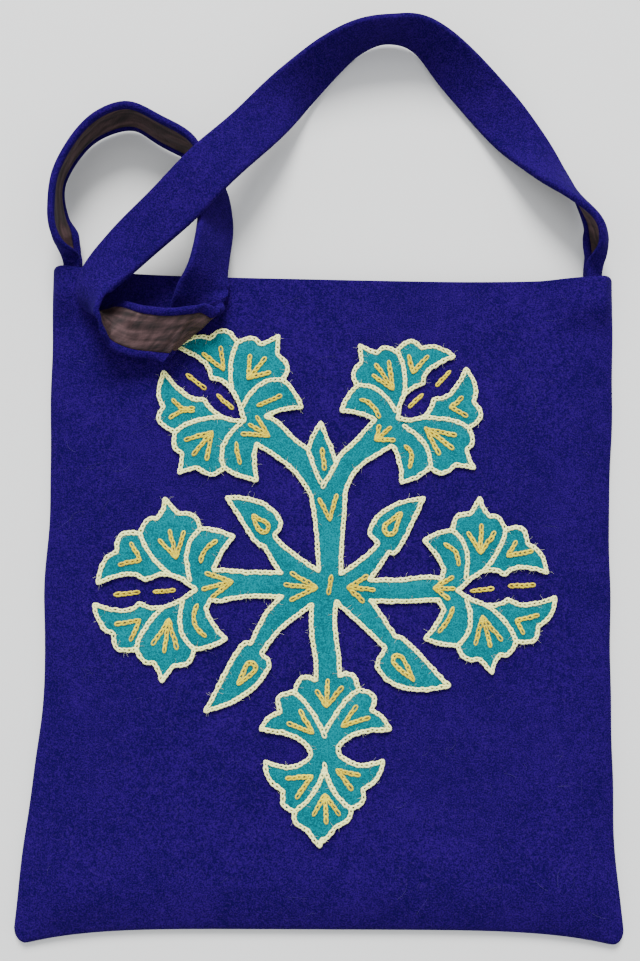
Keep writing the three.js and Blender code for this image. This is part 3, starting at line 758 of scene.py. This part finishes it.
yellow_stitches = []
for foot, *prongs in FORKS:
    for prong in prongs:
        yellow_stitches += chain_line((foot, prong), YELLOW_PITCH)
for vein in BOWED_VEINS:
    yellow_stitches += chain_line(bowed(*vein), YELLOW_PITCH)
for ring in BUD_RINGS:
    yellow_stitches += chain_line(bud_ring(*ring), YELLOW_PITCH)
yellow_chain = chain_stitches("yellow_chain", yellow_stitches, ornament_top, np.random.default_rng(12))
yellow_yarn = wool_yarn(
    "yellow_yarn",
    shaded=(0.34, 0.21, 0, 1),
    plain=(0.66, 0.52, 0, 1),
    bright=(0.92, 0.8, 0, 1),
    # inside is the painted shade in each loop's hollow
    inside=(0.15, 0.045, 0, 1),
)
yellow_chain.data.materials.append(yellow_yarn)

slit_stitches = []
for dash in SLIT_DASHES:
    slit_stitches += chain_line(dash, YELLOW_PITCH)


def panel_top(x, y):
    """Height of the front panel away from its seams."""
    return FLAT_TOP + felt_wave(x, y)


slit_chain = chain_stitches("slit_chain", slit_stitches, panel_top, np.random.default_rng(13))
slit_chain.data.materials.append(yellow_yarn)

# Strap: a long strip of the same felt with both edges turned in as fat hems. Its ends are folded round the
# side seams and sewn into the mouth's corners. It stands on edge in a loop at the left, lies down over the
# mouth, doubles back in a curl on the front, crosses over itself, and runs round to the right corner.
STRAP_HALF = 15.0
# x, y, z, roll, cup, fold, slant: roll 0 stands on edge with the felt outwards and 90 lies with the felt up;
# cup is how far the strip is folded lengthwise, and fold half the width that bends; slant turns the lines
# across the strip, which run along the crease where it doubles over
STRAP_ROUTE = np.array((
    (-159, 176, 6.7, 0, 180, 6.6, 0),
    (-159, 188, 6.7, 0, 180, 6.6, 0),
    (-160.5, 194.5, 9, -10, 145, 8, 0),
    (-162.5, 203, 13.5, -22, 85, 11, 0),
    (-164, 217, 16.5, -6, 20, 15, 0),
    (-164, 239, 16.5, 7, 5, 15, 0),
    (-153.5, 261, 16.5, 7, 5, 15, 0),
    (-139, 274.5, 16.5, 2, 5, 15, 0),
    (-120.5, 279.5, 16.5, -3, 5, 15, 0),
    (-101.5, 270, 16.5, -8, 5, 15, 0),
    (-81.5, 258.5, 16.5, -4, 5, 15, 0),
    (-69.5, 241, 16, 16, 5, 15, 0),
    (-67, 219, 16.5, 33, 5, 15, 0),
    (-67.4, 198, 22.5, 34, 5, 15, 0),
    (-69.8, 180, 25, 40, 8, 15, -8),
    (-74.2, 169.3, 22, 55, 8, 15, -23),
    (-77.3, 161, 19, 77, 5, 15, -36),
    (-78.8, 154.3, 17.6, 90, 5, 15, -44),
    (-79.5, 150, 18.5, 125, 5, 15, -45),
    (-81.3, 146.9, 20.9, 180, 5, 15, -44),
    (-84.2, 145.5, 23.2, 221, 5, 15, -45),
    (-87.9, 144.5, 24.2, 236, 5, 15, -41),
    (-94.9, 143.9, 24.3, 240, 5, 15, -30),
    (-103.5, 144.2, 23.7, 246, 5, 15, -15),
    (-112.5, 145.2, 22.8, 257, 5, 15, -4),
    (-123, 148, 22.5, 282, 5, 15, 0),
    (-130.4, 150.2, 24.5, 325, 5, 15, 0),
    (-136.5, 154.2, 27, 370, 5, 15, 0),
    (-137, 170, 30, 415, 5, 15, 0),
    (-117.3, 192.4, 32, 440, 5, 15, 0),
    (-91.4, 216.4, 36, 452, 5, 15, 0),
    (-69, 241, 36, 457, 5, 15, 0),
    (-46, 269.2, 25, 462, 5, 15, 0),
    (-22.5, 298, 15.5, 494, 5, 15, 0),
    (-3.5, 316, 16, 513, 8, 15, 0),
    (14, 328, 16.5, 532, 8, 15, 0),
    (32, 333, 16.5, 541, 8, 15, 0),
    (51, 329.5, 16.5, 525, 8, 15, 0),
    (72.5, 311.5, 13.5, 493, 8, 15, 0),
    (94, 291, 10, 470, 9, 15, 0),
    (113.5, 270.5, 9.5, 440, 15, 15, 0),
    (128, 253, 13.5, 415, 25, 15, 0),
    (143, 237, 16, 390, 40, 15, 0),
    (155.5, 221, 16, 364, 60, 13, 0),
    (160, 209.5, 13.5, 346, 105, 10, 0),
    (161, 200, 9.5, 346, 150, 7.8, 0),
    (159.5, 190, 6.7, 358, 180, 6.6, 0),
    (159, 178, 6.7, 360, 180, 6.6, 0),
))
STRAP_STEPS = 8
STRAP_LENGTH = 830.0
# The strip is gathered to a share of its width in the corners, over this many rows of the route
GATHERED = 0.8
GATHER_ROWS = 2.5
HEM_WAVER = 0.25
# Half of the strip's section, across and depth, from the middle of its lining side round the hem to the
# middle of the felt side
HEM_SECTION = (
    (0, 2), (4, 2), (7.5, 2), (9.4, 2.1), (10.2, 2.5), (10.6, 3.3), (11.1, 3.9),
    (12.3, 4.15), (13.6, 4.1), (14.4, 3.8), (14.9, 3.1), (15, 2.1), (14.9, 1.2), (14.5, 0.5),
    (13.8, 0.1), (12.6, 0), (10.5, 0.1), (7, 0), (3.5, 0), (0, 0),
)


def strap_lie(steps):
    """How the strip lies: its middle line, and the directions and sizes of its section, at every step."""
    place = np.linspace(0, len(STRAP_ROUTE) - 1, steps + 1)
    x, y, z, roll, cup, fold, slant = (through_rows(column, place) for column in STRAP_ROUTE.T)
    middle = np.column_stack([x, y, z])
    along = np.gradient(middle, axis=0)
    along /= np.linalg.norm(along, axis=1)[:, None]
    rise = np.array([0, 0, 1]) - along * along[:, 2:]
    rise /= np.linalg.norm(rise, axis=1)[:, None]
    side = np.cross(along, rise)
    angle = np.radians(roll)[:, None]
    width = -np.cos(angle) * rise - np.sin(angle) * side
    felt = np.cross(along, width)
    width = width + np.tan(np.radians(slant))[:, None] * along
    from_end = np.minimum(place, place[-1] - place)
    spread = GATHERED + (1 - GATHERED) * np.minimum(from_end / GATHER_ROWS, 1)
    return middle, width, felt, np.radians(cup) / 2, fold, spread


def strap_points(lie, row, across, depth):
    """Points of the strip: the step along it, how far across, and how deep under the felt's face."""
    middle, width, felt, bend, fold, spread = lie
    reach = across * spread[row]
    bent = np.clip(reach, -fold[row], fold[row])
    angle = bent / fold[row] * bend[row]
    radius = fold[row] / bend[row]
    straight = reach - bent
    wide = radius * np.sin(angle) + straight * np.cos(angle) - depth * np.sin(angle)
    deep = radius * (1 - np.cos(angle)) + straight * np.sin(angle) + depth * np.cos(angle)
    return middle[row] + width[row] * wide[:, None] - felt[row] * deep[:, None]


strap_steps = (len(STRAP_ROUTE) - 1) * STRAP_STEPS
lie = strap_lie(strap_steps)
right_half = np.array(HEM_SECTION)
left_half = right_half[-2::-1] * (-1, 1)
section = np.concatenate([right_half, left_half])
strap, column, row = felt_grid("strap_felt", len(section) - 1, strap_steps)
run = row * STRAP_LENGTH / strap_steps
hem_waver = HEM_WAVER * np.sin(run / 9 + np.sign(section[column, 0])) * np.sin(run / 23)
across = section[column, 0] + hem_waver * np.abs(section[column, 0]) / STRAP_HALF
lay_out(strap, strap_points(lie, row, across, section[column, 1]))
bpy.ops.object.mode_set(mode="EDIT")
bpy.ops.mesh.select_all(action="SELECT")
bpy.ops.mesh.remove_doubles(threshold=0.000001)
bpy.ops.mesh.select_all(action="DESELECT")
bpy.ops.mesh.select_non_manifold()
bpy.ops.mesh.fill_holes(sides=0)
bpy.ops.mesh.select_all(action="SELECT")
bpy.ops.mesh.normals_make_consistent(inside=False)
bpy.ops.object.mode_set(mode="OBJECT")
bpy.ops.object.shade_smooth_by_angle(angle=math.radians(60))
strap.data.materials.append(violet_felt)
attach(strap, "root")
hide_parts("strap")

# Strap lining: a strip of thin brown cotton slip-stitched between the hems. It is a little longer than the
# felt side needs, so it lies in soft creases along the strip and puckers across it.
LINING_HALF = 10.4
LINING_WALL = 0.5
LINING_LINES = 16
LINING_DEPTH = 2.75
LINING_RANGE = (2.35, 4.2)
FULLNESS = 0.4
PUCKER_DEPTH = 1.1
# The lining is drawn flat where the strip is folded lengthwise: the fold it is flattest at, and the open one
TIGHT_FOLD = 7
OPEN_FOLD = 11
LEAST_SLACK = 0.15


def pucker(along, aside):
    """Soft creases along the strip and shorter puckers across it, about zero."""
    creases = noise.noise(Vector((along / 26, aside / 6, 3.7)))
    puckers = noise.noise(Vector((along / 7, aside / 15, 9.1)))
    return creases + 0.7 * puckers


lining, column, row = felt_grid("lining_cotton", LINING_LINES, strap_steps)
across = (column / LINING_LINES * 2 - 1) * LINING_HALF
run = row * STRAP_LENGTH / strap_steps
puckered = np.array([pucker(along, aside) for along, aside in zip(run, across)])
fold = lie[4][row]
between_hems = 1 - (across / LINING_HALF) ** 6
slack = np.clip((fold - TIGHT_FOLD) / (OPEN_FOLD - TIGHT_FOLD), LEAST_SLACK, 1)
depth = LINING_DEPTH + between_hems * slack * (FULLNESS + PUCKER_DEPTH * puckered)
lay_out(lining, strap_points(lie, row, across, np.clip(depth, *LINING_RANGE)))
give_wall(lining, LINING_WALL, 1)
weave_map = lining.data.uv_layers.active
uv = np.empty(len(weave_map.data) * 2)
weave_map.data.foreach_get("uv", uv)
uv = uv.reshape(-1, 2) * (2 * LINING_HALF * MM, STRAP_LENGTH * MM)
weave_map.data.foreach_set("uv", uv.ravel())


def plain_cotton(name, dark, middle, pale):
    """Plain woven cotton: threads crossing at right angles, with painted shade and painted highlight in
    streaks that follow its creases and puckers.
    """
    finish, shader, weave = blank_finish(name, "UV")

    def streaks(across, along, turn):
        size = {"Vector": weave, "Rotation": (0, 0, turn), "Scale": (across * MM, along * MM, 1)}
        spot = weave.node("ShaderNodeMapping", {"vector_type": "TEXTURE"}, size)
        wavy = {"Vector": spot, "Scale": 1, "Detail": 3, "Distortion": 0.4}
        return weave.node("ShaderNodeTexNoise", {}, wavy) - 0.5

    def threads(way):
        return weave.node("ShaderNodeTexWave", {"bands_direction": way}, {"Vector": weave, "Scale": 350}, 1)

    # painted shade and highlight: the crease and pleat streaks darken and lighten the cotton where its folds
    # would be shaded and lit; the slub is the yarn's own tone
    crease_shade = streaks(3.2, 40, 0.08)
    pleat_shade = streaks(5, 18, 0.75)
    slub = streaks(6, 0.45, 0)
    depth = 0.5 + 1.9 * crease_shade + 1.4 * pleat_shade + 0.35 * slub
    shadow = depth.between(0.1, 0.5).tint(dark, middle)
    cloth = threads("X") * threads("Y") + 0.3 * slub
    depth.between(0.5, 0.95).tint(shadow, pale).feed(shader, "Base Color")
    (0.72 - 0.15 * slub).feed(shader, "Roughness")
    cloth.relief(0.3, 0.0003).feed(shader, "Normal")
    shader.inputs["Specular IOR Level"].default_value = 0.3
    return finish


brown_cotton = plain_cotton(
    "brown_cotton",
    # dark and pale are the painted shade and highlight of the creases
    dark=(0.006, 0.0022, 0.0024, 1),
    middle=(0.0265, 0.0118, 0.0124, 1),
    pale=(0.063, 0.032, 0.033, 1),
)
lining.data.materials.append(brown_cotton)
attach(lining, "root")
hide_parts("strap_lining")

# Loose fibres: single hairs of the felt's own violet wool. They have worked out of the cloth in use, and
# lie on it in faint arcs, held by the nap.
HAIR_COUNT = 120
HAIR_ROUND = 0.05
HAIR_RINGS = 4
HAIR_LENGTH = (4, 13)
HAIR_BOW = 0.35
HAIR_LIFT = (0.1, 0.7)
STREWN_ACROSS = 150
STREWN_UP = 175

bpy.ops.object.select_all(action="DESELECT")
bpy.ops.mesh.primitive_cylinder_add(vertices=3, radius=1, depth=1, location=(0, 0, 0.5))
hair = bpy.context.object
bpy.ops.object.transform_apply(location=True, rotation=True, scale=True)
bpy.ops.object.mode_set(mode="EDIT")
for ring in range(1, HAIR_RINGS):
    bpy.ops.mesh.select_all(action="SELECT")
    bpy.ops.mesh.bisect(plane_co=(0, 0, ring / HAIR_RINGS), plane_no=(0, 0, 1))
bpy.ops.object.mode_set(mode="OBJECT")
hair_points = np.array([corner.co for corner in hair.data.vertices])
hair_faces = [face.vertices[:] for face in hair.data.polygons]
bpy.data.objects.remove(hair)


def strewn_hairs(name, middles, heading, length, rng, height_at):
    """Bowed hairs lying about on the bag, joined into one piece."""
    t = hair_points[:, 2]
    along = np.column_stack([np.cos(heading), np.sin(heading)])[:, None, :]
    aside = np.column_stack([-np.sin(heading), np.cos(heading)])[:, None, :]
    bow = rng.normal(0, HAIR_BOW, len(middles)) * length
    lift = rng.uniform(*HAIR_LIFT, len(middles))
    travel = length[:, None] * (t - 0.5)
    sway = bow[:, None] * (t - 0.5) ** 2 * 2 + HAIR_ROUND * hair_points[:, 0]
    plan = middles[:, None, :] + along * travel[:, :, None] + aside * sway[:, :, None]
    height = height_at(plan[:, :, 0], plan[:, :, 1]) + HAIR_ROUND * (1 + hair_points[:, 1])
    height = height + lift[:, None] * 4 * t * (1 - t)
    corners = np.dstack([plan, height]).reshape(-1, 3)
    firsts = range(0, len(corners), len(hair_points))
    faces = [[first + corner for corner in face] for first in firsts for face in hair_faces]
    piece = joined(name, corners, faces)
    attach(piece, "root")
    return piece


def felt_top(x, y):
    """Height of the front panel's felt."""
    share_up = np.clip((y - BAG_BOTTOM) / (BAG_TOP - BAG_BOTTOM), 0, 1)
    to_side = np.minimum(x - seam(LEFT_SEAM, share_up, 1), seam(RIGHT_SEAM, share_up, -1) - x)
    return front_under(x, y, np.maximum(to_side, 0)) + FELT


def wool_hair(name, dark, pale):
    """A single dull fibre, dyed unevenly."""
    finish, shader, place = blank_finish(name)
    place.clouds(70, 1).between(-0.1, 0.1).tint(dark, pale).feed(shader, "Base Color")
    shader.inputs["Roughness"].default_value = 0.7
    return finish


rng = np.random.default_rng(5)
hair_x = rng.uniform(-STREWN_ACROSS, STREWN_ACROSS, HAIR_COUNT)
hair_y = rng.uniform(-STREWN_UP, STREWN_UP, HAIR_COUNT)
hair_middles = np.column_stack([hair_x, hair_y])
hair_heading = rng.uniform(0, 2 * math.pi, HAIR_COUNT)
hair_length = rng.uniform(*HAIR_LENGTH, HAIR_COUNT)
fibres = strewn_hairs("loose_fibres", hair_middles, hair_heading, hair_length, rng, felt_top)
violet_hair = wool_hair("violet_hair", dark=(0.02, 0.008, 0.11, 1), pale=(0.06, 0.045, 0.17, 1))
fibres.data.materials.append(violet_hair)

# Yarn fuzz: short pale hairs of the cream wool. They were pulled out of the soft yarn as it was drawn through
# the felt, and stand out sideways from the stitches all along the ornament's edges.
FUZZ_COUNT = 900
FUZZ_ROOT = 0.6
FUZZ_LENGTH = (1.2, 4)
FUZZ_SPREAD = 0.6

rng = np.random.default_rng(6)
fuzz_stitches = [cream_stitches[index] for index in rng.integers(0, len(cream_stitches), FUZZ_COUNT)]
fuzz_roots = np.array([middle for middle, step in fuzz_stitches])
fuzz_along = np.array([math.atan2(step[1], step[0]) for middle, step in fuzz_stitches])
fuzz_heading = fuzz_along + rng.choice((-0.5, 0.5), FUZZ_COUNT) * math.pi
fuzz_heading = fuzz_heading + rng.normal(0, FUZZ_SPREAD, FUZZ_COUNT)
fuzz_length = rng.uniform(*FUZZ_LENGTH, FUZZ_COUNT)
fuzz_out = np.column_stack([np.cos(fuzz_heading), np.sin(fuzz_heading)])
fuzz_middles = fuzz_roots + fuzz_out * (FUZZ_ROOT + fuzz_length / 2)[:, None]
fuzz_height = np.array([ornament_top(x, y) for x, y in fuzz_roots]) + YARN_SEAT * YARN


def beside_yarn(x, y):
    """Each hair keeps the height of the stitch that it grows from."""
    return np.broadcast_to(fuzz_height[:, None], x.shape)


fuzz = strewn_hairs("yarn_fuzz", fuzz_middles, fuzz_heading, fuzz_length, rng, beside_yarn)
cream_hair = wool_hair("cream_hair", dark=(0.3, 0.31, 0.2, 1), pale=(0.65, 0.67, 0.42, 1))
fuzz.data.materials.append(cream_hair)
